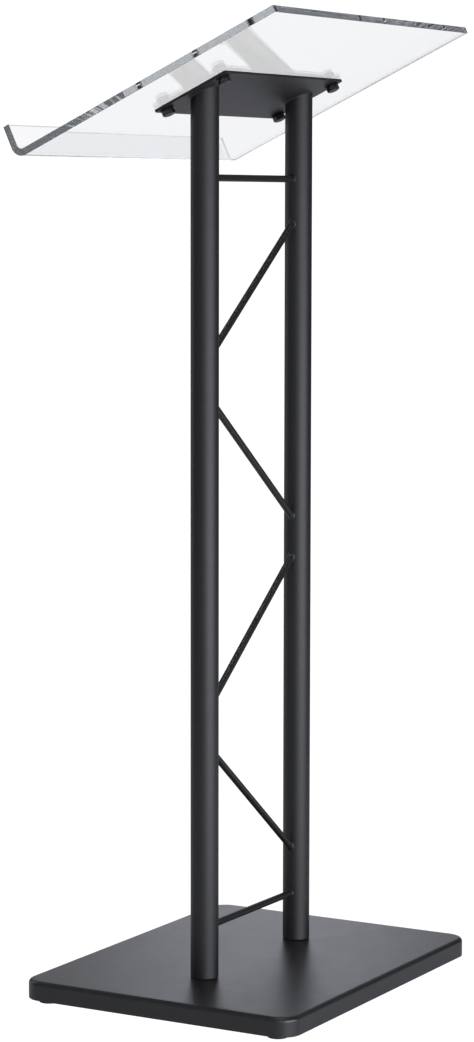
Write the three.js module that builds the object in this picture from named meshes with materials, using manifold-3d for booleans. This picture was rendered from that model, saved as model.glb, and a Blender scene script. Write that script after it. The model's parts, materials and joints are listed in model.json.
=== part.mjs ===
// Presentation lectern: a clear acrylic reading panel on a truss column of two
// round tubes, standing on a flat base with four screw-in feet.
//
// Millimetres. X runs across the lectern, -Y faces the audience, +Y faces the
// reader and +Z is up. The floor is Z = 0. "Left" is the -X side.

import * as THREE from 'three';
import { mergeVertices } from 'three/addons/utils/BufferGeometryUtils.js';
import Module from 'manifold-3d';

const wasm = await Module();
wasm.setup();

// ---------------------------------------------------------------- dimensions

const gap = 0.3; // left between pieces that touch on the real lectern
const past = 1; // how far a cutting solid reaches past the face it cuts

const panel = {
  width: 468,
  thickness: 8,
  tilt: THREE.MathUtils.degToRad(25),
  toAudience: 175, // slope length from the tubes' plane to the upper edge
  toReader: 186, // slope length from the tubes' plane to the outside of the lip
  lip: 40, // outside height of the lip
  bendRadius: 6, // inside radius of the heat bend
  height: 1032.5, // underside above the floor, over the tubes
};

const plate = {
  width: 275,
  length: 100,
  thickness: 3,
  cornerRadius: 2,
  offset: 4, // the plate's centre lies this far down the slope from the tubes
};

// The bolts that hold the panel to the plate. They come up from below.
const panelBolt = {
  spacingX: 254,
  spacingY: 79,
  radius: 4,
  headFlats: 13,
  headHeight: 5.3,
  endBelowTop: 0.5, // how far the threaded end stops short of the panel's upper face
  endChamfer: 0.6,
};

const tube = { radius: 16, wall: 1.5, spacing: 218 };

const rodRadius = 4;
const rungHeights = { top_rung: 935, bottom_rung: 84 };
const diagonals = [
  { left: 727, right: 895 },
  { left: 696, right: 527.5 },
  { left: 329, right: 502 },
  { left: 297.5, right: 129.5 },
];

const base = {
  width: 450,
  depth: 350,
  thickness: 22,
  cornerRadius: 24,
  edgeRadius: 5,
  sheet: 1.5,
  recess: 1, // how far the bottom plate sits inside the cover's rim
  bottomSheet: 2,
};

const foot = {
  height: 4.5, // the cover's rim above the floor
  radius: 12,
  edgeRadius: 1.5,
  padChamfer: 0.6,
  insetX: 20,
  insetY: 26,
  studRadius: 4,
  studBottom: 3,
  studTop: 18,
  studChamfer: 0.8,
  studClearance: 0.5, // round the stud, in the bottom plate's holes
  insertRadius: 7,
  insertHeight: 8,
};

const tubeBolt = {
  radius: 5,
  headFlats: 16,
  headHeight: 6.4,
  endChamfer: 1,
  washerRadius: 10,
  washerThickness: 2,
  accessRadius: 12,
  threadAboveCover: 10.5,
  plugHeight: 12,
};

const panScrew = {
  radius: 2,
  headRadius: 4,
  headHeight: 1.8,
  length: 12,
  pointLength: 2,
  insetX: 60,
  insetY: 18,
};

const washer = { radius: 8, thickness: 1.6 };

// Levels above the floor.
const baseTop = foot.height + base.thickness;
const bottomPlateZ = foot.height + base.recess;
const coreBottom = bottomPlateZ + base.bottomSheet + gap;
const coreTop = baseTop - base.sheet - gap;
const boltSeat = coreBottom + tubeBolt.headHeight + tubeBolt.washerThickness - gap;
const padHeight = bottomPlateZ - gap;

// Heights along the panel's normal, from the panel's underside.
const plateTop = -gap;
const plateBottom = plateTop - plate.thickness;

// ----------------------------------------------------------------- materials

const standard = (color, roughness, metalness) =>
  new THREE.MeshStandardMaterial({ color, roughness, metalness });

const materials = {
  acrylic: new THREE.MeshStandardMaterial({
    color: 0xf1f5f7, roughness: 0.05, metalness: 0, transparent: true, opacity: 0.3,
  }),
  powderCoat: standard(0x26272a, 0.5, 0.2),
  satinCover: standard(0x2b2c30, 0.4, 0.3),
  blackHardware: standard(0x17181a, 0.35, 0.7),
  zincHardware: standard(0xa9adb0, 0.35, 0.9),
  galvanised: standard(0x8d9295, 0.5, 0.8),
  fibreboard: standard(0x8a6f52, 0.9, 0),
  rubber: standard(0x121213, 0.8, 0),
};

// ------------------------------------------------------------------- solids

/** A manifold solid with the outside of a closed three.js geometry. */
function solid(geometry) {
  const bare = geometry.clone();
  bare.deleteAttribute('normal');
  bare.deleteAttribute('uv');
  const merged = mergeVertices(bare, 1e-4);
  return new wasm.Manifold(new wasm.Mesh({
    numProp: 3,
    vertProperties: new Float32Array(merged.attributes.position.array),
    triVerts: new Uint32Array(merged.index.array),
  }));
}

/** The three.js geometry of a manifold solid. */
function geometryOf(manifold) {
  const mesh = manifold.getMesh();
  const geometry = new THREE.BufferGeometry();
  geometry.setAttribute('position', new THREE.BufferAttribute(mesh.vertProperties, 3));
  geometry.setIndex(new THREE.BufferAttribute(mesh.triVerts, 1));
  geometry.computeVertexNormals();
  return geometry;
}

/** `body` less every solid of `cuts`. */
const cutFrom = (body, cuts) => geometryOf(cuts.reduce((rest, cut) => rest.subtract(cut), body));

/** An upright cylinder between two heights. */
function upright(radius, bottom, top, segments = 24, x = 0, y = 0) {
  const geometry = new THREE.CylinderGeometry(radius, radius, top - bottom, segments);
  geometry.rotateX(Math.PI / 2);
  geometry.translate(x, y, (top + bottom) / 2);
  return solid(geometry);
}

/** A ring between two heights. */
const ring = (outer, inner, bottom, top, segments = 24) =>
  cutFrom(upright(outer, bottom, top, segments), [upright(inner, bottom - past, top + past, segments)]);

/** A solid of revolution about Z from [radius, height] points that start and end on the axis. */
function revolved(points, segments = 24) {
  const profile = points.map(([radius, height]) => new THREE.Vector2(radius, height));
  return solid(new THREE.LatheGeometry(profile, segments).rotateX(Math.PI / 2));
}

/** A hexagonal prism with the given distance across flats. */
const hexagon = (flats, bottom, top) => upright(flats / Math.sqrt(3), bottom, top, 6);

/** A hexagonal prism whose corners are chamfered at both ends. */
function chamferedHexagon(flats, bottom, top) {
  const corner = flats / Math.sqrt(3);
  const face = flats * 0.48;
  const drop = (corner - face) * Math.tan(Math.PI / 6);
  const envelope = revolved([
    [0, bottom], [face, bottom], [corner, bottom + drop], [corner, top - drop], [face, top], [0, top],
  ]);
  return hexagon(flats, bottom, top).intersect(envelope);
}

/** A hexagon-head bolt, standing on its head. Z = 0 is where the shank leaves the head. */
function hexBolt({ radius, headFlats, headHeight, endChamfer }, length) {
  const shank = revolved([
    [0, -past], [radius, -past], [radius, length - endChamfer], [radius - endChamfer, length],
    [0, length],
  ]);
  return geometryOf(chamferedHexagon(headFlats, -headHeight, 0).add(shank));
}

/** A rectangle with round corners, centred on the origin. */
function roundedRectangle(width, depth, radius) {
  const x = width / 2 - radius;
  const y = depth / 2 - radius;
  const quarter = Math.PI / 2;
  const shape = new THREE.Shape();
  shape.moveTo(x, -y - radius);
  shape.absarc(x, -y, radius, -quarter, 0);
  shape.absarc(x, y, radius, 0, quarter);
  shape.absarc(-x, y, radius, quarter, 2 * quarter);
  shape.absarc(-x, -y, radius, 2 * quarter, 3 * quarter);
  shape.closePath();
  return shape;
}

/** A sheet with round corners between two heights. */
function sheet(width, depth, radius, bottom, top, curveSegments = 7) {
  const shape = roundedRectangle(width, depth, radius);
  const geometry = new THREE.ExtrudeGeometry(shape, {
    depth: top - bottom, bevelEnabled: false, curveSegments,
  });
  return solid(geometry.translate(0, 0, bottom));
}

/** A slab whose upper edges are rounded, between two heights. */
function pillowTop(width, depth, radius, edge, bottom, top) {
  const shape = roundedRectangle(width, depth, radius);
  const geometry = new THREE.ExtrudeGeometry(shape, {
    depth: top - bottom, bevelEnabled: true, bevelThickness: edge, bevelSize: edge,
    bevelOffset: -edge, bevelSegments: 3, curveSegments: 7,
  });
  geometry.translate(0, 0, bottom - edge);
  const under = new THREE.BoxGeometry(2 * width, 2 * depth, 4 * edge);
  return solid(geometry).subtract(solid(under.translate(0, 0, bottom - 2 * edge)));
}

/** The four points (+-x, +-y), counted round from the left on the audience's side. */
const fourCorners = (x, y) => [[-x, -y], [x, -y], [x, y], [-x, y]];

// --------------------------------------------------------------- scene graph

const group = new THREE.Group();

function addMesh(parent, name, geometry, material, x = 0, y = 0, z = 0) {
  const mesh = new THREE.Mesh(geometry, material);
  mesh.name = name;
  mesh.position.set(x, y, z);
  parent.add(mesh);
}

// The deck's own axes: X across, Y down the slope to the reader, Z along the
// panel's normal, with the origin on the panel's underside over the tubes.
const deck = new THREE.Group();
deck.position.z = panel.height;
deck.rotation.x = -panel.tilt;
group.add(deck);

// --------------------------------------------------------------------- deck

const panelBoltPoints = fourCorners(panelBolt.spacingX / 2, panelBolt.spacingY / 2)
  .map(([x, y]) => [x, y + plate.offset]);

const holesAt = (points, radius, bottom, top) =>
  points.map(([x, y]) => upright(radius, bottom, top, 20, x, y));

/** The panel's side outline: a flat slope, a quarter-circle bend and the upright lip. */
function panelOutline() {
  const { thickness, bendRadius, toAudience, toReader, lip } = panel;
  const outerRadius = bendRadius + thickness;
  const bendY = toReader - outerRadius;
  const outline = new THREE.Shape();
  outline.moveTo(-toAudience, 0);
  outline.lineTo(bendY, 0);
  outline.absarc(bendY, outerRadius, outerRadius, -Math.PI / 2, 0, false);
  outline.lineTo(toReader, lip);
  outline.lineTo(toReader - thickness, lip);
  outline.absarc(bendY, outerRadius, bendRadius, 0, -Math.PI / 2, true);
  outline.lineTo(-toAudience, thickness);
  outline.closePath();
  return outline;
}

function acrylicPanel() {
  const geometry = new THREE.ExtrudeGeometry(panelOutline(), {
    depth: panel.width, bevelEnabled: false, curveSegments: 10,
  });
  const across = new THREE.Matrix4().makeBasis(
    new THREE.Vector3(0, 1, 0), new THREE.Vector3(0, 0, 1), new THREE.Vector3(1, 0, 0),
  );
  geometry.applyMatrix4(across).translate(-panel.width / 2, 0, 0);
  const holeRadius = panelBolt.radius + gap;
  const holes = holesAt(panelBoltPoints, holeRadius, -past, panel.thickness + past);
  return cutFrom(solid(geometry), holes);
}

function topPlate() {
  const body = sheet(plate.width, plate.length, plate.cornerRadius, plateBottom, plateTop, 3);
  const holeRadius = panelBolt.radius + gap;
  const holes = holesAt(panelBoltPoints, holeRadius, plateBottom - past, plateTop + past);
  return cutFrom(body.translate([0, plate.offset, 0]), holes);
}

addMesh(deck, 'acrylic_panel', acrylicPanel(), materials.acrylic);
addMesh(deck, 'top_plate', topPlate(), materials.powderCoat);

const plateWasherBottom = plateBottom - gap - washer.thickness;
const panelBoltSeat = plateWasherBottom - gap;
const panelBoltLength = panel.thickness - panelBolt.endBelowTop - panelBoltSeat;
const panelBoltGeometry = hexBolt(panelBolt, panelBoltLength);
const washerGeometry = ring(washer.radius, panelBolt.radius + gap, 0, washer.thickness);

panelBoltPoints.forEach(([x, y], index) => {
  const number = index + 1;
  const hardware = materials.blackHardware;
  addMesh(deck, `panel_bolt_${number}`, panelBoltGeometry, hardware, x, y, panelBoltSeat);
  addMesh(deck, `plate_washer_${number}`, washerGeometry, hardware, x, y, plateWasherBottom);
});

// ------------------------------------------------------------------- column

/** A tube from the base's top to the sloping underside of the plate. */
function columnTube() {
  const block = 200;
  const above = new THREE.BoxGeometry(block, block, block);
  above.translate(0, 0, block / 2 + plateBottom - gap);
  above.rotateX(-panel.tilt);
  above.translate(0, 0, panel.height);
  const rawTop = panel.height + tube.radius;
  const outside = upright(tube.radius, baseTop + gap, rawTop, 48);
  const bore = upright(tube.radius - tube.wall, baseTop - past, rawTop + past, 48);
  return cutFrom(outside, [bore, solid(above)]);
}

/** A round rod between the two tubes, its ends coped to fit their walls. */
function webRod(leftHeight, rightHeight) {
  const rise = rightHeight - leftHeight;
  const length = Math.hypot(tube.spacing, rise);
  const geometry = new THREE.CylinderGeometry(rodRadius, rodRadius, length, 20);
  geometry.rotateZ(-Math.PI / 2);
  geometry.rotateY(-Math.atan2(rise, tube.spacing));
  geometry.translate(0, 0, (leftHeight + rightHeight) / 2);
  const low = Math.min(leftHeight, rightHeight) - tube.radius;
  const high = Math.max(leftHeight, rightHeight) + tube.radius;
  const tubes = [-1, 1].map((side) =>
    upright(tube.radius + gap, low, high, 48, (side * tube.spacing) / 2));
  return cutFrom(solid(geometry), tubes);
}

const tubeGeometry = columnTube();
const tubeSides = { left: -tube.spacing / 2, right: tube.spacing / 2 };

for (const [side, x] of Object.entries(tubeSides)) {
  addMesh(group, `tube_${side}`, tubeGeometry, materials.powderCoat, x);
}
for (const [name, height] of Object.entries(rungHeights)) {
  addMesh(group, name, webRod(height, height), materials.powderCoat);
}
diagonals.forEach(({ left, right }, index) => {
  addMesh(group, `diagonal_${index + 1}`, webRod(left, right), materials.powderCoat);
});

// --------------------------------------------------------------------- base

const boltPoints = Object.values(tubeSides).map((x) => [x, 0]);
const footPoints = fourCorners(base.width / 2 - foot.insetX, base.depth / 2 - foot.insetY);
const panScrewPoints = fourCorners(
  base.width / 2 - panScrew.insetX, base.depth / 2 - panScrew.insetY,
);

/** The pressed cover: a shallow lid with rounded upper edges, open underneath. */
function baseCover() {
  const { width, depth, cornerRadius, edgeRadius, sheet: wall } = base;
  const outside = pillowTop(width, depth, cornerRadius, edgeRadius, foot.height, baseTop);
  const inside = pillowTop(
    width - 2 * wall, depth - 2 * wall, cornerRadius - wall, edgeRadius - wall,
    foot.height - past, baseTop - wall,
  );
  const holes = holesAt(boltPoints, tubeBolt.radius + gap, coreTop, baseTop + past);
  return cutFrom(outside, [inside, ...holes]);
}

const innerWidth = base.width - 2 * (base.sheet + gap);
const innerDepth = base.depth - 2 * (base.sheet + gap);
const innerCorner = base.cornerRadius - base.sheet - gap;

/** The board inside the cover, counterbored for the tube bolts and bored for the feet. */
function baseCore() {
  const edge = base.edgeRadius - base.sheet;
  const body = pillowTop(innerWidth, innerDepth, innerCorner, edge, coreBottom, coreTop);
  const below = coreBottom - past;
  return cutFrom(body, [
    ...holesAt(boltPoints, tubeBolt.radius + gap, below, coreTop + past),
    ...holesAt(boltPoints, tubeBolt.accessRadius, below, boltSeat + gap),
    ...holesAt(footPoints, foot.insertRadius + gap, below, foot.studTop + past),
    ...holesAt(panScrewPoints, panScrew.radius + gap, below, padHeight + panScrew.length + past),
  ]);
}

function bottomPlate() {
  const top = bottomPlateZ + base.bottomSheet;
  const body = sheet(innerWidth, innerDepth, innerCorner, bottomPlateZ, top);
  const through = [bottomPlateZ - past, top + past];
  return cutFrom(body, [
    ...holesAt(boltPoints, tubeBolt.accessRadius, ...through),
    ...holesAt(footPoints, foot.studRadius + foot.studClearance, ...through),
    ...holesAt(panScrewPoints, panScrew.radius + gap, ...through),
  ]);
}

/** The pad under a foot: a disc with a rounded edge and a blind hole for the stud. */
function footPad() {
  const { radius, edgeRadius, padChamfer, studRadius, studBottom } = foot;
  const arc = Array.from({ length: 4 }, (_, step) => {
    const angle = (step / 3) * (Math.PI / 2);
    return [radius - edgeRadius * (1 - Math.sin(angle)), edgeRadius * (1 - Math.cos(angle))];
  });
  const body = revolved([
    [0, 0], ...arc, [radius, padHeight - padChamfer], [radius - padChamfer, padHeight],
    [0, padHeight],
  ]);
  return cutFrom(body, [upright(studRadius + gap, studBottom - gap, padHeight + past, 16)]);
}

/** The threaded stud of a foot. */
function footStud() {
  const { studRadius, studBottom, studTop, studChamfer } = foot;
  return geometryOf(revolved([
    [0, studBottom], [studRadius, studBottom], [studRadius, studTop - studChamfer],
    [studRadius - studChamfer, studTop], [0, studTop],
  ], 16));
}

/** A pan-head screw, point up. Z = 0 is where the shank leaves the head. */
function panHeadScrew() {
  const { radius, headRadius, headHeight, length, pointLength } = panScrew;
  return geometryOf(revolved([
    [0, -headHeight], [headRadius * 0.7, -headHeight], [headRadius, -headHeight * 0.4],
    [headRadius, 0], [radius, 0], [radius, length - pointLength], [0, length],
  ], 16));
}

addMesh(group, 'base_cover', baseCover(), materials.satinCover);
addMesh(group, 'base_core', baseCore(), materials.fibreboard);
addMesh(group, 'bottom_plate', bottomPlate(), materials.galvanised);

const boltHeadTop = boltSeat - tubeBolt.washerThickness - gap;
const boltLength = baseTop + tubeBolt.threadAboveCover - boltHeadTop;
const boltGeometry = hexBolt(tubeBolt, boltLength);
const boltWasherGeometry = ring(
  tubeBolt.washerRadius, tubeBolt.radius + gap, 0, tubeBolt.washerThickness,
);
const plugGeometry = ring(
  tube.radius - tube.wall - gap, tubeBolt.radius + gap, 0, tubeBolt.plugHeight,
);

for (const [side, x] of Object.entries(tubeSides)) {
  const washerZ = boltSeat - tubeBolt.washerThickness;
  addMesh(group, `tube_plug_${side}`, plugGeometry, materials.zincHardware, x, 0, baseTop + gap);
  addMesh(group, `bolt_washer_${side}`, boltWasherGeometry, materials.zincHardware, x, 0, washerZ);
  addMesh(group, `tube_bolt_${side}`, boltGeometry, materials.zincHardware, x, 0, boltHeadTop);
}

const insertGeometry = ring(
  foot.insertRadius, foot.studRadius + gap, coreBottom, coreBottom + foot.insertHeight, 20,
);
const studGeometry = footStud();
const padGeometry = footPad();

footPoints.forEach(([x, y], index) => {
  const number = index + 1;
  addMesh(group, `foot_insert_${number}`, insertGeometry, materials.zincHardware, x, y);
  addMesh(group, `foot_stud_${number}`, studGeometry, materials.zincHardware, x, y);
  addMesh(group, `foot_pad_${number}`, padGeometry, materials.rubber, x, y);
});

const panScrewGeometry = panHeadScrew();
panScrewPoints.forEach(([x, y], index) => {
  const name = `bottom_screw_${index + 1}`;
  addMesh(group, name, panScrewGeometry, materials.zincHardware, x, y, padHeight);
});

// The origin is on the floor at the centre of the whole lectern's outline, so
// everything shifts by half of what the lip overhangs the base.
group.updateMatrixWorld(true);
const extent = new THREE.Box3().setFromObject(group);
group.position.y = -(extent.min.y + extent.max.y) / 2;

export default group;
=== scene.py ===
import json
import math

import bmesh
import bpy
from mathutils import Matrix, Vector, noise


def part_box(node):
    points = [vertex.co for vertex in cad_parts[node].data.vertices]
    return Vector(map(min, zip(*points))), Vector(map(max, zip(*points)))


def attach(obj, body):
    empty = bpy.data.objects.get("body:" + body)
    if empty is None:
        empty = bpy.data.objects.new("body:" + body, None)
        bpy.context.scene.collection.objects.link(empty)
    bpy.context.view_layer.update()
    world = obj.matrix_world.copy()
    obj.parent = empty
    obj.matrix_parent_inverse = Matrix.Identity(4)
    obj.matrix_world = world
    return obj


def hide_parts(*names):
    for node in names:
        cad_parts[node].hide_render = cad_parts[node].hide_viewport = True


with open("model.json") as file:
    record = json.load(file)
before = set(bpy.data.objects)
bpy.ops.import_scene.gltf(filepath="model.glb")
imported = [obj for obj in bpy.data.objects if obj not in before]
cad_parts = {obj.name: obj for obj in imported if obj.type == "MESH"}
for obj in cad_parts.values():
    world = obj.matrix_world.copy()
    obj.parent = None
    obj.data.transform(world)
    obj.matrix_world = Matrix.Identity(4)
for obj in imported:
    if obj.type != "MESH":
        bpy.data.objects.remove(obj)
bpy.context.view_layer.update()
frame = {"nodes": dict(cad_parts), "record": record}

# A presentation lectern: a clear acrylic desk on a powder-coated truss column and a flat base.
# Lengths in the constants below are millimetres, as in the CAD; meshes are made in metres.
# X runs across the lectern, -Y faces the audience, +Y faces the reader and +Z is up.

MM = 0.001
RECORD = frame["record"]

TILT = math.radians(25)
PANEL = {"width": 468, "thickness": 8, "to_audience": 175, "to_reader": 186, "lip": 40, "bend": 6}
PANEL_EASE = 0.5
PLATE = {"width": 275, "length": 100, "thickness": 3, "corner": 2, "offset": 4, "gap": 0.3}
BOLT = {"spacing_x": 254, "spacing_y": 79, "radius": 4, "pitch": 1.25, "flats": 13, "head": 5.3}
BOLT_BELOW_TOP = 0.5
WASHER = {"radius": 8, "thickness": 1.6}
TUBE = {"radius": 16, "wall": 1.5, "spacing": 218}
ROD_RADIUS = 4
# A rod's weld: how far it stands out from the rod, and how far it is from the tube's wall.
ROD_WELD = ((1.1, 0.25), (0.95, 0.6), (0.6, 1.0), (0.3, 1.5), (0.1, 2.1), (0.0, 2.8))
BASE = {"corner": 24, "edge": 5, "sheet": 1.5, "tube_hole": 5.3}
BASE_BOLT = {"radius": 5, "pitch": 1.5, "flats": 16, "head": 6.4, "plate_hole": 12}
STUD = {"radius": 4, "pitch": 1.25, "plate_hole": 4.5}
PAN_SCREW = {"radius": 2, "pitch": 1.3, "plate_hole": 2.3}
PAD_RIBS = {"count": 30, "depth": 0.18}
GAP = 0.3


def body_of_node(node):
    """The name of the CAD body that a node belongs to."""
    bodies = (RECORD.get("behaviour") or {}).get("bodies") or {}
    for body, nodes in bodies.items():
        if node in nodes:
            return body
    return "root"


def middle(node):
    """The middle of a CAD node's box."""
    low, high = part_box(node)
    return (low + high) / 2


def deck_matrix():
    """The deck's axes: X across, Y down the slope to the reader, Z along the panel's normal.
    Its origin is on the panel's underside over the tubes, in metres."""
    turn = Matrix.Rotation(-TILT, 4, "X")
    plate_middle = Vector((0, PLATE["offset"], -PLATE["gap"] - PLATE["thickness"] / 2)) * MM
    return Matrix.Translation(middle("top_plate") - turn.to_3x3() @ plate_middle) @ turn


DECK = deck_matrix()


# ------------------------------------------------------------------ mesh tools

def loft(rings, closed=False):
    """A skin over rings of equally many points, closed into a loop or capped at both ends."""
    mesh = bmesh.new()
    rows = [[mesh.verts.new(point) for point in ring] for ring in rings]
    pairs = list(zip(rows, rows[1:]))
    if closed:
        pairs.append((rows[-1], rows[0]))
    for row, following in pairs:
        for i in range(len(row)):
            j = (i + 1) % len(row)
            mesh.faces.new((row[i], row[j], following[j], following[i]))
    if not closed:
        mesh.faces.new(reversed(rows[0]))
        mesh.faces.new(rows[-1])
    bmesh.ops.recalc_face_normals(mesh, faces=mesh.faces)
    return mesh


def ring(radius, height, count):
    """A ring about Z. The radius and the height may be functions of the angle."""
    points = []
    for i in range(count):
        angle = 2 * math.pi * i / count
        r = radius(angle) if callable(radius) else radius
        z = height(angle) if callable(height) else height
        points.append(Vector((r * math.cos(angle), r * math.sin(angle), z)) * MM)
    return points


def turned(profile, count=48, closed=False):
    """A turned solid about Z from [radius, height] points."""
    return loft([ring(r, z, count) for r, z in profile], closed)


def hexagon(flats):
    """The radius of a hexagon as a function of the angle."""
    def radius(angle):
        return flats / 2 / math.cos((angle % (math.pi / 3)) - math.pi / 6)
    return radius


def arc(centre, radius, start, end, steps):
    """Points on an arc, the angles in degrees."""
    points = []
    for i in range(steps + 1):
        angle = math.radians(start + (end - start) * i / steps)
        points.append((centre[0] + radius * math.cos(angle), centre[1] + radius * math.sin(angle)))
    return points


def rounded_rectangle(width, depth, corner, height, steps=8):
    """A ring of points round a rectangle with round corners, centred on Z."""
    x, y = width / 2 - corner, depth / 2 - corner
    points = []
    for (cx, cy), start in (((x, y), 0), ((-x, y), 90), ((-x, -y), 180), ((x, -y), 270)):
        points += arc((cx, cy), corner, start, start + 90, steps)
    return [Vector((px, py, height)) * MM for px, py in points]


def new_object(name, mesh, place=None):
    """An object from a bmesh, whose points are first moved to their place in the row frame."""
    if place is not None:
        mesh.transform(place)
    data = bpy.data.meshes.new(name)
    mesh.to_mesh(data)
    mesh.free()
    piece = bpy.data.objects.new(name, data)
    bpy.context.scene.collection.objects.link(piece)
    return piece


def apply_modifiers(piece):
    """Bakes a piece's modifiers into its mesh."""
    graph = bpy.context.evaluated_depsgraph_get()
    graph.update()
    data = bpy.data.meshes.new_from_object(piece.evaluated_get(graph))
    piece.modifiers.clear()
    piece.data = data


def drill(piece, cutters):
    """Cuts the cutters out of a piece and removes them."""
    for cutter in cutters:
        cut = piece.modifiers.new("cut", "BOOLEAN")
        cut.operation = "DIFFERENCE"
        cut.solver = "EXACT"
        cut.object = cutter
    apply_modifiers(piece)
    for cutter in cutters:
        bpy.data.objects.remove(cutter)


def ease_edges(piece, width, segments=2, angle=35):
    """Rounds a piece's sharp edges by a small radius, in millimetres."""
    bevel = piece.modifiers.new("ease", "BEVEL")
    bevel.width = width * MM
    bevel.segments = segments
    bevel.limit_method = "ANGLE"
    bevel.angle_limit = math.radians(angle)
    bevel.use_clamp_overlap = True
    apply_modifiers(piece)


def shade(piece, angle=32):
    """Smooth shading with a break at every edge sharper than the angle. Large faces keep their
    own normals, so that only the eased edges beside them curve."""
    mesh = bmesh.new()
    mesh.from_mesh(piece.data)
    limit = math.radians(angle)
    for face in mesh.faces:
        face.smooth = True
    for edge in mesh.edges:
        edge.smooth = len(edge.link_faces) == 2 and edge.calc_face_angle(0) < limit
    mesh.to_mesh(piece.data)
    mesh.free()
    weighted = piece.modifiers.new("weighted", "WEIGHTED_NORMAL")
    weighted.keep_sharp = True
    apply_modifiers(piece)


def finish_piece(piece, nodes, material, angle=32):
    """Gives a piece its shading, material and body, and hides the CAD nodes that it stands for."""
    shade(piece, angle)
    piece.data.materials.clear()
    piece.data.materials.append(material)
    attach(piece, body_of_node(nodes[0]))
    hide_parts(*nodes)


# ------------------------------------------------------------------- materials

class Look:
    """A procedural material under construction, on the object's own coordinates."""

    def __init__(self, name, **settings):
        self.material = bpy.data.materials.new(name)
        self.material.use_nodes = True
        self.tree = self.material.node_tree
        self.shader = self.tree.nodes["Principled BSDF"]
        self.place = self.add("ShaderNodeTexCoord").outputs["Object"]
        for socket, value in settings.items():
            self.shader.inputs[socket.replace("_", " ")].default_value = value

    def add(self, kind, inputs=None, **settings):
        """A node with its settings, its inputs linked to other sockets or set to values."""
        node = self.tree.nodes.new(kind)
        for name, value in settings.items():
            setattr(node, name, value)
        for socket, value in (inputs or {}).items():
            if isinstance(value, bpy.types.NodeSocket):
                self.tree.links.new(value, node.inputs[socket])
            else:
                node.inputs[socket].default_value = value
        return node

    def stretched(self, x, y, z):
        """The object's coordinates scaled along each axis."""
        node = self.add("ShaderNodeMapping", {"Vector": self.place, "Scale": (x, y, z)})
        return node.outputs["Vector"]

    def noise(self, scale, detail=2.0, roughness=0.5, vector=None):
        """Smooth noise about 0.5, finer with a larger scale."""
        inputs = {"Vector": vector or self.place, "Scale": scale, "Detail": detail,
                  "Roughness": roughness}
        return self.add("ShaderNodeTexNoise", inputs).outputs["Fac"]

    def cells(self, scale):
        """A random colour for each of many crystal-shaped cells."""
        node = self.add("ShaderNodeTexVoronoi", {"Vector": self.place, "Scale": scale})
        return node.outputs["Color"]

    def ramp(self, factor, low, high, to_low=0.0, to_high=1.0):
        """A value mapped from one range to another, held at its ends."""
        inputs = {"Value": factor, "From Min": low, "From Max": high,
                  "To Min": to_low, "To Max": to_high}
        return self.add("ShaderNodeMapRange", inputs).outputs["Result"]

    def maths(self, operation, first, second):
        """The result of a sum on two sockets or values."""
        return self.add("ShaderNodeMath", {0: first, 1: second}, operation=operation).outputs[0]

    def mix(self, factor, first, second):
        """A blend of two colours by a factor."""
        node = self.add("ShaderNodeMix", data_type="RGBA")
        for index, value in ((0, factor), (6, first), (7, second)):
            if isinstance(value, bpy.types.NodeSocket):
                self.tree.links.new(value, node.inputs[index])
            else:
                node.inputs[index].default_value = value
        return node.outputs[2]

    def bump(self, height, distance, strength=1.0, below=None):
        """A relief of a height in metres, over another relief if one is given."""
        inputs = {"Height": height, "Distance": distance, "Strength": strength}
        if below is not None:
            inputs["Normal"] = below
        return self.add("ShaderNodeBump", inputs).outputs["Normal"]

    def drive(self, **sources):
        """Links sources to the shader's sockets."""
        for socket, source in sources.items():
            self.tree.links.new(source, self.shader.inputs[socket.replace("_", " ")])
        return self.material


def grey(value, blue=1.0):
    """A neutral colour with a slight lean to blue."""
    return (value, value * (1 + 0.012 * blue), value * (1 + 0.055 * blue), 1.0)


def powder_coat(name, value, roughness, peel, grain=0.00001):
    """Black powder coat: an orange-peel skin with a fine grain and a faint mottle."""
    look = Look(name, IOR=1.5)
    mottle = look.noise(14, 3)
    speck = look.noise(2600, 2)
    shades = look.mix(look.ramp(mottle, 0.35, 0.65), grey(value * 0.95), grey(value * 1.05))
    colour = look.mix(look.ramp(speck, 0.62, 0.76, 0, 0.35), shades, grey(value * 2.2))
    rough = look.ramp(look.noise(60, 4), 0.3, 0.7, roughness - 0.012, roughness + 0.012)
    skin = look.bump(look.noise(420, 2), peel)
    normal = look.bump(look.noise(2200, 3), grain, 1.0, skin)
    return look.drive(Base_Color=colour, Roughness=rough, Normal=normal)


def black_oxide():
    """Blackened steel fasteners, rubbed a little brighter in patches."""
    look = Look("oxide_black", Metallic=0.55, IOR=1.5)
    patches = look.noise(700, 4, 0.6)
    colour = look.mix(look.ramp(patches, 0.45, 0.75), grey(0.012), grey(0.05))
    rough = look.ramp(look.noise(1200, 3), 0.3, 0.7, 0.3, 0.5)
    normal = look.bump(look.noise(3000, 2), 0.00002)
    return look.drive(Base_Color=colour, Roughness=rough, Normal=normal)


def bright_zinc():
    """Zinc-plated steel with a faint warm and blue cast and fine turning marks."""
    look = Look("zinc_bright", Metallic=1.0)
    cast = look.noise(90, 3)
    colour = look.mix(look.ramp(cast, 0.35, 0.65), (0.52, 0.56, 0.6, 1), (0.62, 0.6, 0.52, 1))
    rough = look.ramp(look.noise(500, 4), 0.3, 0.7, 0.24, 0.42)
    marks = look.noise(40, 2, 0.5, look.stretched(1, 1, 90))
    return look.drive(Base_Color=colour, Roughness=rough, Normal=look.bump(marks, 0.00002))


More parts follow.
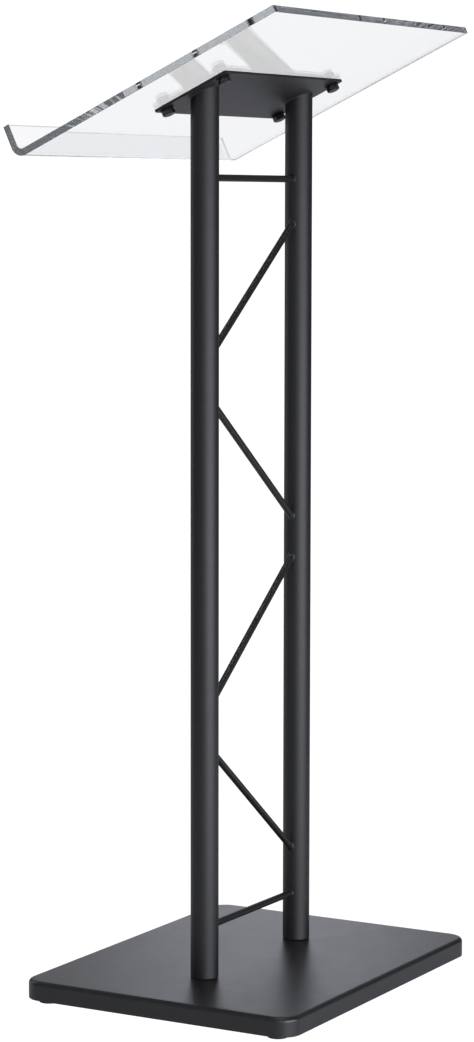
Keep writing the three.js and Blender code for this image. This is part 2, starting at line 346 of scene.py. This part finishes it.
def galvanised_sheet():
    """Hot-dip galvanised sheet with its frost-like spangle."""
    look = Look("zinc_spangle", Metallic=0.9)
    spangle = look.cells(110)
    tone = look.add("ShaderNodeSeparateColor", {"Color": spangle}).outputs[0]
    colour = look.mix(tone, (0.3, 0.32, 0.34, 1), (0.5, 0.52, 0.55, 1))
    rough = look.ramp(tone, 0, 1, 0.34, 0.56)
    fine = look.noise(900, 3)
    return look.drive(Base_Color=colour, Roughness=rough, Normal=look.bump(fine, 0.00002))


def fibreboard():
    """Raw medium-density board with pressed fibres."""
    look = Look("pressed_fibres", IOR=1.45)
    fibres = look.noise(60, 6, 0.7, look.stretched(8, 24, 24))
    colour = look.mix(look.ramp(fibres, 0.3, 0.7), (0.2, 0.12, 0.06, 1), (0.36, 0.24, 0.14, 1))
    rough = look.ramp(fibres, 0.3, 0.7, 0.8, 0.95)
    return look.drive(Base_Color=colour, Roughness=rough, Normal=look.bump(fibres, 0.0001))


def black_rubber():
    """Moulded rubber with a matt, slightly dusty skin."""
    look = Look("moulded_rubber", IOR=1.5)
    dust = look.noise(180, 4)
    colour = look.mix(look.ramp(dust, 0.45, 0.8), grey(0.008), grey(0.03))
    rough = look.ramp(dust, 0.3, 0.7, 0.62, 0.85)
    normal = look.bump(look.noise(1600, 3), 0.00004)
    return look.drive(Base_Color=colour, Roughness=rough, Normal=normal)


def clear_acrylic():
    """Clear acrylic: clean polished faces, and cut edges with faint tool ripples."""
    look = Look("polished_acrylic", Transmission_Weight=1.0, IOR=1.49, Roughness=0.0)
    tint = look.mix(look.noise(3, 2), (0.985, 0.987, 0.996, 1), (0.992, 0.993, 1, 1))
    ripple = look.noise(30, 3, 0.55, look.stretched(6, 6, 1))
    facing = look.add("ShaderNodeTexCoord").outputs["Normal"]
    across = look.add("ShaderNodeSeparateXYZ", {"Vector": facing}).outputs["X"]
    cut_edge = look.ramp(look.maths("ABSOLUTE", across, 0.0), 0.5, 0.9)
    depth = look.add("ShaderNodeVolumeAbsorption", {"Color": (0.0, 0.06, 0.12, 1), "Density": 1.8})
    output = look.tree.nodes["Material Output"]
    look.tree.links.new(depth.outputs["Volume"], output.inputs["Volume"])
    return look.drive(Base_Color=tint, Normal=look.bump(ripple, 0.00002, cut_edge))


POWDER_COAT = powder_coat("powder_coat", 0.008, 0.5, 0.00002)
SATIN_COVER = powder_coat("satin_cover", 0.010, 0.4, 0.000006)
BLACK_OXIDE = black_oxide()
BRIGHT_ZINC = bright_zinc()
GALVANISED = galvanised_sheet()
FIBREBOARD = fibreboard()
RUBBER = black_rubber()
ACRYLIC = clear_acrylic()


# ------------------------------------------------------------------------ deck

def bolt_points():
    """The four bolts' places on the deck, counted round from the left on the audience's side."""
    x, y, shift = BOLT["spacing_x"] / 2, BOLT["spacing_y"] / 2, PLATE["offset"]
    return [(-x, shift - y), (x, shift - y), (x, shift + y), (-x, shift + y)]


def on_deck(x, y, z):
    """A place on the deck, as a matrix."""
    return DECK @ Matrix.Translation(Vector((x, y, z)) * MM)


def hole_cutter(x, y, radius):
    """A cutter for a hole square through the deck."""
    return new_object("cutter", turned([(radius, -20), (radius, 20)], 48), on_deck(x, y, 0))


def clear_panel():
    """The acrylic desk: a flat slope, a heat bend and a lip, with polished, eased edges."""
    thickness, inner, width = PANEL["thickness"], PANEL["bend"], PANEL["width"]
    outer = inner + thickness
    far, bend_y = PANEL["to_reader"], PANEL["to_reader"] - outer
    outline = [(-PANEL["to_audience"], 0)]
    outline += arc((bend_y, outer), outer, -90, 0, 24)
    outline += [(far, PANEL["lip"]), (far - thickness, PANEL["lip"])]
    outline += arc((bend_y, outer), inner, 0, -90, 24)
    outline += [(-PANEL["to_audience"], thickness)]
    sides = [[Vector((x, y, z)) * MM for y, z in outline] for x in (-width / 2, width / 2)]
    piece = new_object("acrylic_desk", loft(sides), DECK)
    drill(piece, [hole_cutter(x, y, BOLT["radius"] + GAP) for x, y in bolt_points()])
    ease_edges(piece, PANEL_EASE)
    finish_piece(piece, ["acrylic_panel"], ACRYLIC, 28)


def mounting_plate():
    """The steel plate under the desk."""
    top = -PLATE["gap"]
    rings = [rounded_rectangle(PLATE["width"], PLATE["length"], PLATE["corner"], z)
             for z in (top - PLATE["thickness"], top)]
    piece = new_object("mounting_plate", loft(rings), on_deck(0, PLATE["offset"], 0))
    drill(piece, [hole_cutter(x, y, BOLT["radius"] + GAP) for x, y in bolt_points()])
    ease_edges(piece, 0.4, 3)
    finish_piece(piece, ["top_plate"], POWDER_COAT)


def threaded(radius, bottom, top, pitch, count=32):
    """Rings of a shank with an external thread, from the bottom up."""
    depth = 0.6 * pitch
    steps = max(2, round((top - bottom) / pitch * 5))
    rings = []
    for i in range(steps + 1):
        z = bottom + (top - bottom) * i / steps
        fade = min(1.0, (z - bottom) / pitch + 0.2, (top - z) / pitch + 0.2)

        def crest(angle, z=z, fade=fade):
            phase = (z / pitch - angle / (2 * math.pi)) % 1.0
            groove = 1 - abs(2 * phase - 1)
            return radius - depth * (groove * fade + 0.55 * (1 - fade))

        rings.append(ring(crest, z, count))
    return rings


def washer(outer, inner, thickness):
    """A washer with one edge rounded by stamping and the other sharp."""
    return turned([
        (inner, 0.15), (inner + 0.15, 0), (outer - 0.1, 0), (outer, 0.1),
        (outer, thickness - 0.4), (outer - 0.12, thickness - 0.12), (outer - 0.4, thickness),
        (inner + 0.3, thickness), (inner, thickness - 0.3),
    ], 64, closed=True)


def hexagon_rings(flats, bottom, top, count=72):
    """Rings up the outside of a hexagon chamfered at both ends, so its faces end in arcs."""
    outside = hexagon(flats)
    face = flats * 0.475
    slope = math.tan(math.radians(30))

    def drop(angle):
        return max(0.0, outside(angle) - face) * slope

    def edge(angle):
        return min(face, outside(angle))

    return [
        ring(edge, bottom, count),
        ring(outside, lambda angle: bottom + drop(angle), count),
        ring(outside, lambda angle: top - drop(angle), count),
        ring(edge, top, count),
    ]


def hexagon_bolt(flats, head, radius, length, pitch, count=72):
    """A hexagon-head bolt, point up, with a shallow forged dish in its head. Z = 0 is the
    bearing face of the head."""
    dish = flats * 0.27
    rings = [ring(dish * 0.8, 0.35 - head, count), ring(dish, -head, count)]
    rings += hexagon_rings(flats, -head, 0, count)
    rings += [ring(radius + 0.4, 0, count), ring(radius, 0.4, count)]
    rings += threaded(radius, 0.8, length - 0.8, pitch, count)
    rings += [ring(radius * 0.82, length - 0.3, count), ring(radius * 0.72, length, count)]
    return loft(rings)


def deck_hardware():
    """The bolts that come up through washers and the plate into the desk's tapped holes."""
    washer_low = -PLATE["gap"] - PLATE["thickness"] - GAP - WASHER["thickness"]
    seat = washer_low - GAP
    length = PANEL["thickness"] - BOLT_BELOW_TOP - seat
    for number, (x, y) in enumerate(bolt_points(), 1):
        bolt = hexagon_bolt(BOLT["flats"], BOLT["head"], BOLT["radius"], length, BOLT["pitch"])
        disc = washer(WASHER["radius"], BOLT["radius"] + GAP, WASHER["thickness"])
        for name, node, mesh, height in (
            ("desk_bolt", "panel_bolt", bolt, seat),
            ("desk_washer", "plate_washer", disc, washer_low),
        ):
            piece = new_object(f"{name}_{number}", mesh, on_deck(x, y, height))
            finish_piece(piece, [f"{node}_{number}"], BLACK_OXIDE)


# ---------------------------------------------------------------------- column

def plate_height(y):
    """The height of the plate's underside over a point that lies y from the tubes' plane."""
    origin = DECK.translation
    normal = DECK.to_3x3() @ Vector((0, 0, 1))
    level = -(PLATE["gap"] + PLATE["thickness"]) * MM
    return origin.z + (level - normal.y * y) / normal.z


def column_tube(side):
    """A tube with eased ends, its top mitred to the plate."""
    node = f"tube_{side}"
    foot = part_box(node)[0].z
    centre = middle(node)
    count = 96
    radius, bore = TUBE["radius"] * MM, (TUBE["radius"] - TUBE["wall"]) * MM
    ease, lip = 0.6 * MM, 1.1 * MM

    def level(r, height=None, below=0.0):
        """A ring at a height, or at a distance below the plate."""
        points = []
        for i in range(count):
            angle = 2 * math.pi * i / count
            x, y = r * math.cos(angle), r * math.sin(angle)
            z = plate_height(y) - GAP * MM - below if height is None else height
            points.append(Vector((centre.x + x, centre.y + y, z)))
        return points

    lower = [level(radius - lip + x, foot + lip + z)
             for x, z in arc((0, 0), lip, -90, 0, 5)]
    rings = [level(bore, foot + ease), level(bore + ease * 0.4, foot)] + lower + [
        level(radius, foot + 0.02), level(radius, None, 0.012), level(radius, None, ease),
        level(radius - ease * 0.5), level(bore),
    ]
    piece = new_object(f"column_tube_{side}", loft(rings, closed=True))
    finish_piece(piece, [node], POWDER_COAT)


def tube_weld(side, size=1.5 * MM):
    """The fillet of weld between a tube and the plate, with the faint ripples of its run."""
    node = f"tube_{side}"
    centre = middle(node)
    radius = TUBE["radius"] * MM
    count, steps = 144, 6
    bead = []
    for i in range(count):
        angle = 2 * math.pi * i / count
        out = Vector((math.cos(angle), math.sin(angle), 0))
        at = Vector((centre.x, centre.y, 0)) + out * radius
        at.z = plate_height(out.y * radius) - 0.05 * MM
        leg = size * (1 + 0.05 * math.sin(angle * 36) + 0.1 * noise.noise(at * 200))
        along = (out - Vector((0, 0, out.y * math.tan(TILT)))).normalized()
        section = []
        for step in range(steps + 1):
            t = step / steps
            hollow = 1 - 0.3 * math.sin(math.pi * t)
            section.append(at + (along * t + Vector((0, 0, t - 1))) * leg * hollow)
        section.append(at - out * 0.3 * MM)
        bead.append(section)
    piece = new_object(f"tube_weld_{side}", loft(bead, closed=True))
    shade(piece, 50)
    piece.data.materials.append(POWDER_COAT)
    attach(piece, body_of_node(node))


def rod_ends(node):
    """Where a rod's axis meets the two tubes' axes."""
    points = [vertex.co for vertex in frame["nodes"][node].data.vertices]
    tubes = [middle("tube_left"), middle("tube_right")]
    ends = []
    for half in ([p for p in points if p.x < 0], [p for p in points if p.x > 0]):
        ends.append(sum(half, Vector()) / len(half))
    slope = (ends[1].z - ends[0].z) / (ends[1].x - ends[0].x)
    return [Vector((tube.x, tube.y, end.z + slope * (tube.x - end.x)))
            for tube, end in zip(tubes, ends)]


def web_rod(node):
    """A round rod between the tubes, flaring into a small weld fillet at each end."""
    left, right = rod_ends(node)
    along = (right - left).normalized()
    side = Vector((0, 1, 0))
    up = side.cross(along)
    count = 32

    def meets(tube, offset, sign):
        """How far along the rod from its left end a line beside its axis meets a tube's wall."""
        start = left + offset - tube
        p = along.x ** 2 + along.y ** 2
        q = 2 * (start.x * along.x + start.y * along.y)
        r = start.x ** 2 + start.y ** 2 - (TUBE["radius"] * MM) ** 2
        root = math.sqrt(max(0.0, q * q - 4 * p * r))
        return (-q + sign * root) / (2 * p)

    def section(tube, sign, extra, back):
        """A ring round the rod that follows a tube's wall at a distance from it."""
        points = []
        for i in range(count):
            angle = 2 * math.pi * i / count
            turn = Vector((math.cos(angle), math.sin(angle), sign))
            ripple = 1 + 0.18 * noise.noise(turn * 2.3 + left * 40)
            radius = ROD_RADIUS * MM + extra * MM * ripple
            offset = (side * math.cos(angle) + up * math.sin(angle)) * radius
            distance = meets(tube, offset, sign) + sign * back * MM
            points.append(left + offset + along * distance)
        return points

    rings = [section(left, 1, extra, back) for extra, back in ROD_WELD]
    rings += [section(right, -1, extra, back) for extra, back in reversed(ROD_WELD)]
    piece = new_object(f"web_{node}", loft(rings))
    finish_piece(piece, [node], POWDER_COAT, 60)


def column():
    """The tubes, their welds and the rods between them."""
    for side in ("left", "right"):
        column_tube(side)
        tube_weld(side)
    for node in ("top_rung", "bottom_rung", "diagonal_1", "diagonal_2", "diagonal_3", "diagonal_4"):
        web_rod(node)


# ------------------------------------------------------------------------ base

def upright_cutter(at, radius, height):
    """A cutter for an upright hole at a point's x and y, through the given height."""
    place = Matrix.Translation((at.x, at.y, height))
    return new_object("cutter", turned([(radius, -9), (radius, 9)], 40), place)


def base_shell():
    """The pressed cover: a shallow lid with rounded upper edges, open underneath."""
    low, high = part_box("base_cover")
    size, centre = (high - low) / MM, middle("base_cover")
    top, bottom = high.z / MM, low.z / MM
    edge, sheet = BASE["edge"], BASE["sheet"]

    def level(inset, height):
        return rounded_rectangle(size.x - 2 * inset, size.y - 2 * inset,
                                 BASE["corner"] - inset, height, 14)

    def wall(inset):
        """Rings from the rim up the wall and over the rounded edge."""
        rows = [(inset, bottom + 0.3), (inset, top - edge - 0.6)]
        rows += arc((edge, top - edge), edge - inset, 180, 90, 7)
        return [level(*row) for row in rows]

    flat = 12
    rings = [level(flat, top - sheet)] + wall(sheet)[::-1]
    rings += [level(sheet - 0.3, bottom), level(0.3, bottom)] + wall(0) + [level(flat, top)]
    piece = new_object("base_shell", loft(rings), Matrix.Translation((centre.x, centre.y, 0)))
    drill(piece, [upright_cutter(middle(f"tube_{side}"), BASE["tube_hole"], high.z)
                  for side in ("left", "right")])
    finish_piece(piece, ["base_cover"], SATIN_COVER, 40)


def base_underside():
    """The galvanised plate that closes the base, with holes for the bolts, feet and screws."""
    low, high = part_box("bottom_plate")
    size = (high - low) / MM
    centre = middle("bottom_plate")
    inset = BASE["sheet"] + GAP
    rings = [rounded_rectangle(size.x, size.y, BASE["corner"] - inset, z / MM, 12)
             for z in (low.z, high.z)]
    piece = new_object("base_underplate", loft(rings), Matrix.Translation((centre.x, centre.y, 0)))
    holes = [(f"tube_bolt_{side}", BASE_BOLT) for side in ("left", "right")]
    holes += [(f"foot_stud_{i}", STUD) for i in range(1, 5)]
    holes += [(f"bottom_screw_{i}", PAN_SCREW) for i in range(1, 5)]
    drill(piece, [upright_cutter(middle(node), fastener["plate_hole"], low.z)
                  for node, fastener in holes])
    ease_edges(piece, 0.2, 1)
    finish_piece(piece, ["bottom_plate"], GALVANISED)


def glide_pad(number):
    """The pad of a levelling foot: ribbed round its edge, with a hole for the stud."""
    node = f"foot_pad_{number}"
    low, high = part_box(node)
    at = middle(node)
    radius, height = (high.x - low.x) / 2 / MM, (high.z - low.z) / MM

    def ribbed(angle):
        groove = 0.5 + 0.5 * math.cos(angle * PAD_RIBS["count"])
        return radius - PAD_RIBS["depth"] * groove

    profile = [(0.8, 0.5), (7.0, 0.5), (7.4, 0.0)]
    profile += arc((radius - 1.5, 1.5), 1.5, -90, -20, 5)
    profile += [(ribbed, 1.6), (ribbed, height - 1.0), (radius - 0.3, height - 0.5)]
    profile += [(radius - 0.7, height), (4.4, height), (4.4, 2.7), (1.0, 2.7)]
    place = Matrix.Translation((at.x, at.y, low.z))
    piece = new_object(f"glide_pad_{number}", turned(profile, 120), place)
    finish_piece(piece, [node], RUBBER, 45)


def glide_stud(number):
    """The threaded stud of a levelling foot."""
    node = f"foot_stud_{number}"
    low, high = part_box(node)
    at = middle(node)
    length = (high.z - low.z) / MM
    rings = [ring(2.9, 0, 40)]
    rings += threaded(STUD["radius"], 0.2, length - 0.8, STUD["pitch"], 40)
    rings += [ring(3.2, length - 0.3, 40), ring(2.9, length, 40)]
    place = Matrix.Translation((at.x, at.y, low.z))
    piece = new_object(f"glide_stud_{number}", loft(rings), place)
    finish_piece(piece, [node], BRIGHT_ZINC)


def pan_screw(number):
    """A pan-head screw with a cross recess, head down."""
    node = f"bottom_screw_{number}"
    low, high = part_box(node)
    at = middle(node)
    length = (high.z - low.z) / MM
    count = 32

    def recess(depth):
        """A cross-shaped ring, so that the head's face sinks into a cross."""
        def radius(angle):
            spoke = abs(math.cos(2 * angle)) ** 3
            return depth * (0.55 + 1.25 * spoke)
        return radius

    rings = [ring(recess(0.6), 1.1, count), ring(recess(1.0), 0.02, count)]
    rings += [ring(r, z, count) for r, z in ((2.5, 0), (3.2, 0.2), (3.8, 0.8), (4, 1.4), (4, 1.8))]
    rings += [ring(1.9, 1.8, count)]
    rings += threaded(PAN_SCREW["radius"], 1.9, length - 2, PAN_SCREW["pitch"], count)
    rings += [ring(0.9, length - 1, count), ring(0.2, length, count)]
    piece = new_object(f"pan_screw_{number}", loft(rings), Matrix.Translation((at.x, at.y, low.z)))
    finish_piece(piece, [node], BRIGHT_ZINC)


def tube_bolt(side):
    """The hexagon-head bolt that holds a tube to the base, head down."""
    node = f"tube_bolt_{side}"
    low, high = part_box(node)
    at = middle(node)
    head = BASE_BOLT["head"]
    length = (high.z - low.z) / MM - head
    bolt = hexagon_bolt(BASE_BOLT["flats"], head, BASE_BOLT["radius"], length, BASE_BOLT["pitch"])
    place = Matrix.Translation((at.x, at.y, low.z + head * MM))
    piece = new_object(f"base_bolt_{side}", bolt, place)
    finish_piece(piece, [node], BRIGHT_ZINC)


def base():
    """The cover, the closing plate, the feet, the screws and the tubes' bolts."""
    base_shell()
    base_underside()
    for number in range(1, 5):
        glide_pad(number)
        glide_stud(number)
        pan_screw(number)
    for side in ("left", "right"):
        tube_bolt(side)


def dress_hidden_nodes():
    """Materials for the CAD nodes that stay, all inside the base and the tubes."""
    looks = {"base_core": FIBREBOARD, "tube_plug": BRIGHT_ZINC, "bolt_washer": BRIGHT_ZINC,
             "foot_insert": BRIGHT_ZINC}
    for name, node in frame["nodes"].items():
        for start, material in looks.items():
            if name.startswith(start):
                node.data.materials.clear()
                node.data.materials.append(material)


# ----------------------------------------------------------- camera and studio

VIEW_AZIMUTH = math.radians(-60.275)
VIEW = {"pitch": math.radians(5.916), "roll": math.radians(0.081), "distance": 3.55065,
        "lens": 105.99, "sensor": 36, "aim": (-0.008765, 0.010113, 0.540957)}

COOL_WHITE = (0.955, 0.972, 1.065)
PURE_WHITE = (1, 1, 1)

# How bright the surroundings are: what is seen as white, what lights the acrylic's cut edges
# from within, what all surfaces reflect, and the paper's own glow in the reflections.
SEEN_WHITE, INSIDE_GREY, REFLECTED_GREY, PAPER_GLOW = 1.08, 0.3, 0.06, 0.32

# Name, azimuth in degrees, distance and height in metres, size in metres and power in watts.
SOFTBOXES = (
    ("key_left", -30, 3.0, 0.3, (1.6, 0.6), 42),
    ("key_right", 0, 3.0, 0.3, (1.6, 0.6), 38),
    ("camera_low", -60, 3.0, 0.75, (1.6, 1.5), 8),
    ("camera_high", -60, 3.0, 2.3, (1.6, 1.2), 13),
    ("side", -110, 3.0, 1.2, (1.6, 2.0), 5.2),
    ("rim", 180, 3.0, 0.75, (1.6, 1.5), 7),
    ("back_right", 105, 3.0, 0.6, (1.6, 1.2), 0.9),
    ("back_middle", 119, 3.0, 0.6, (0.6, 1.2), 2.5),
    ("back_high", 120, 3.0, 2.3, (1.6, 1.2), 3.3),
    ("back_reader", 180, 3.0, 2.3, (1.6, 1.2), 14),
    ("back_audience", 75, 3.0, 2.3, (1.6, 1.2), 2.5),
    ("overhead", 0, 0.01, 3.0, (1.4, 1.4), 22),
)


def from_azimuth(azimuth, distance, height):
    """A point at a distance from the lectern's middle, azimuth 0 being the audience's side."""
    return Vector((math.sin(azimuth) * distance, -math.cos(azimuth) * distance, height))


def add_camera():
    """The camera, on the audience's side and a little above the lectern's middle."""
    back = from_azimuth(VIEW_AZIMUTH, math.cos(VIEW["pitch"]), math.sin(VIEW["pitch"]))
    data = bpy.data.cameras.new("camera")
    data.lens = VIEW["lens"]
    data.sensor_width = VIEW["sensor"]
    camera = bpy.data.objects.new("camera", data)
    bpy.context.scene.collection.objects.link(camera)
    facing = back.to_track_quat("Z", "Y").to_matrix().to_4x4()
    place = Matrix.Translation(Vector(VIEW["aim"]) + back * VIEW["distance"])
    camera.matrix_world = place @ facing @ Matrix.Rotation(VIEW["roll"], 4, "Z")
    bpy.context.scene.camera = camera


def softbox(name, azimuth, distance, height, size, power):
    """A rectangular light that faces the lectern. The camera doesn't see it, and those whose
    names start with back aren't seen through the acrylic either."""
    data = bpy.data.lights.new(name, "AREA")
    data.shape = "RECTANGLE"
    data.size, data.size_y = size
    data.energy = power
    data.color = COOL_WHITE
    light = bpy.data.objects.new(name, data)
    light.location = from_azimuth(math.radians(azimuth), distance, height)
    towards = Vector((0, 0, 0.55)) - light.location
    light.rotation_euler = towards.to_track_quat("-Z", "Y").to_euler()
    light.visible_camera = False
    light.visible_transmission = not name.startswith("back")
    bpy.context.scene.collection.objects.link(light)


def paper_sweep(name, glow, colour, whiteness, seen):
    """A wide strip of white paper under the lectern that curves up behind it. One such strip
    is seen, straight and through the acrylic. Another, dimmer one lies in the same place and
    is what the surfaces reflect."""
    half_width, front, back, cove, top = 1.6, -1.3, 3.6, 0.6, 2.6
    profile = [(front, 0), (back, 0)] + arc((back, cove), cove, -90, 0, 12)[1:]
    profile.append((back + cove, top))
    turn = Matrix.Rotation(VIEW_AZIMUTH, 4, "Z")
    mesh = bmesh.new()
    rows = [[mesh.verts.new(turn @ Vector((x, y, z))) for y, z in profile]
            for x in (-half_width, half_width)]
    for i in range(len(profile) - 1):
        mesh.faces.new((rows[0][i], rows[1][i], rows[1][i + 1], rows[0][i + 1]))
    sweep = new_object(name, mesh)
    for face in sweep.data.polygons:
        face.use_smooth = True
    look = Look(name, Roughness=0.9, Specular_IOR_Level=0.0, Emission_Color=(*colour, 1),
                Emission_Strength=glow)
    fibre = look.noise(300, 3)
    paper = look.mix(fibre, grey(whiteness * 0.96, 0), grey(whiteness * 1.04, 0))
    sweep.data.materials.append(look.drive(Base_Color=paper))
    sweep.visible_camera = seen
    sweep.visible_transmission = seen
    sweep.visible_diffuse = not seen
    sweep.visible_glossy = not seen
    sweep.visible_shadow = not seen


def surroundings():
    """A studio that is white behind what the camera sees, straight or through the acrylic,
    grey for light that comes out of the acrylic after running along inside it, and dim all
    round for what the surfaces reflect."""
    world = bpy.data.worlds.new("studio")
    world.use_nodes = True
    bpy.context.scene.world = world
    tree = world.node_tree

    def maths(operation, first, second):
        node = tree.nodes.new("ShaderNodeMath")
        node.operation = operation
        for socket, value in zip(node.inputs, (first, second)):
            if isinstance(value, bpy.types.NodeSocket):
                tree.links.new(value, socket)
            else:
                socket.default_value = value
        return node.outputs[0]

    path = tree.nodes.new("ShaderNodeLightPath").outputs
    reflections = maths("ADD", path["Glossy Depth"], path["Diffuse Depth"])
    straight = maths("LESS_THAN", reflections, 0.5)
    through = maths("MULTIPLY", straight, path["Is Transmission Ray"])
    seen = maths("MAXIMUM", through, path["Is Camera Ray"])
    white = maths("MULTIPLY", seen, SEEN_WHITE)
    inside = maths("MULTIPLY", path["Is Transmission Ray"], INSIDE_GREY)
    background = tree.nodes["Background"].inputs
    background["Color"].default_value = (*PURE_WHITE, 1)
    brightest = maths("MAXIMUM", maths("MAXIMUM", white, inside), REFLECTED_GREY)
    tree.links.new(brightest, background["Strength"])


def studio():
    """The camera, the lights and all that is round the lectern."""
    add_camera()
    surroundings()
    paper_sweep("paper_seen", SEEN_WHITE, PURE_WHITE, 0.0, seen=True)
    paper_sweep("paper_reflected", PAPER_GLOW, COOL_WHITE, 0.52, seen=False)
    for name, azimuth, distance, height, size, power in SOFTBOXES:
        softbox(name, azimuth, distance, height, size, power)
    scene = bpy.context.scene
    scene.view_settings.view_transform = "Standard"
    scene.view_settings.look = "None"
    # Light runs along inside the acrylic sheet, reflected ten or more times before it leaves.
    scene.cycles.max_bounces = 40
    scene.cycles.glossy_bounces = 36
    scene.cycles.transmission_bounces = 12


studio()
clear_panel()
mounting_plate()
deck_hardware()
column()
base()
dress_hidden_nodes()
